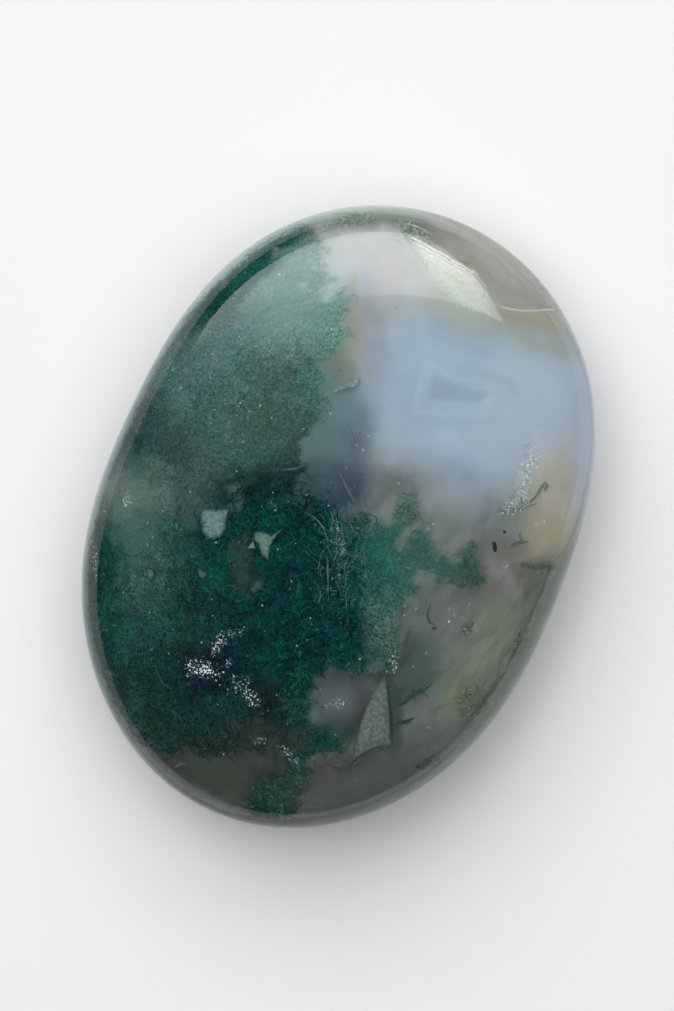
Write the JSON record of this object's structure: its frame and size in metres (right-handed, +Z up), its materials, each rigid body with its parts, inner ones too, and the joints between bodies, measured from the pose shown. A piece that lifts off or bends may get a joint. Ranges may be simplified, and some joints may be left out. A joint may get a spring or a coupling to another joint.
{
  "type": "polished moss agate palm stone",
  "caption": "Oval, flattened pebble of polished moss agate with green moss-like inclusions, a pale blue cloud and a glossy domed surface, lying flat.",
  "frame": {"origin": "on the resting flat, under the middle of the stone's outline", "axes": "+Z up out of the crown, +Y along the long axis towards the end with the pale cloud, +X across the stone"},
  "size_m": [0.044, 0.06, 0.0172],
  "materials": {
    "polished_chalcedony": "high polish, translucent grey chalcedony with dark green moss inclusions"
  },
  "bodies": {
    "root": {"agate_stone": "polished_chalcedony"}
  },
  "joints": []
}
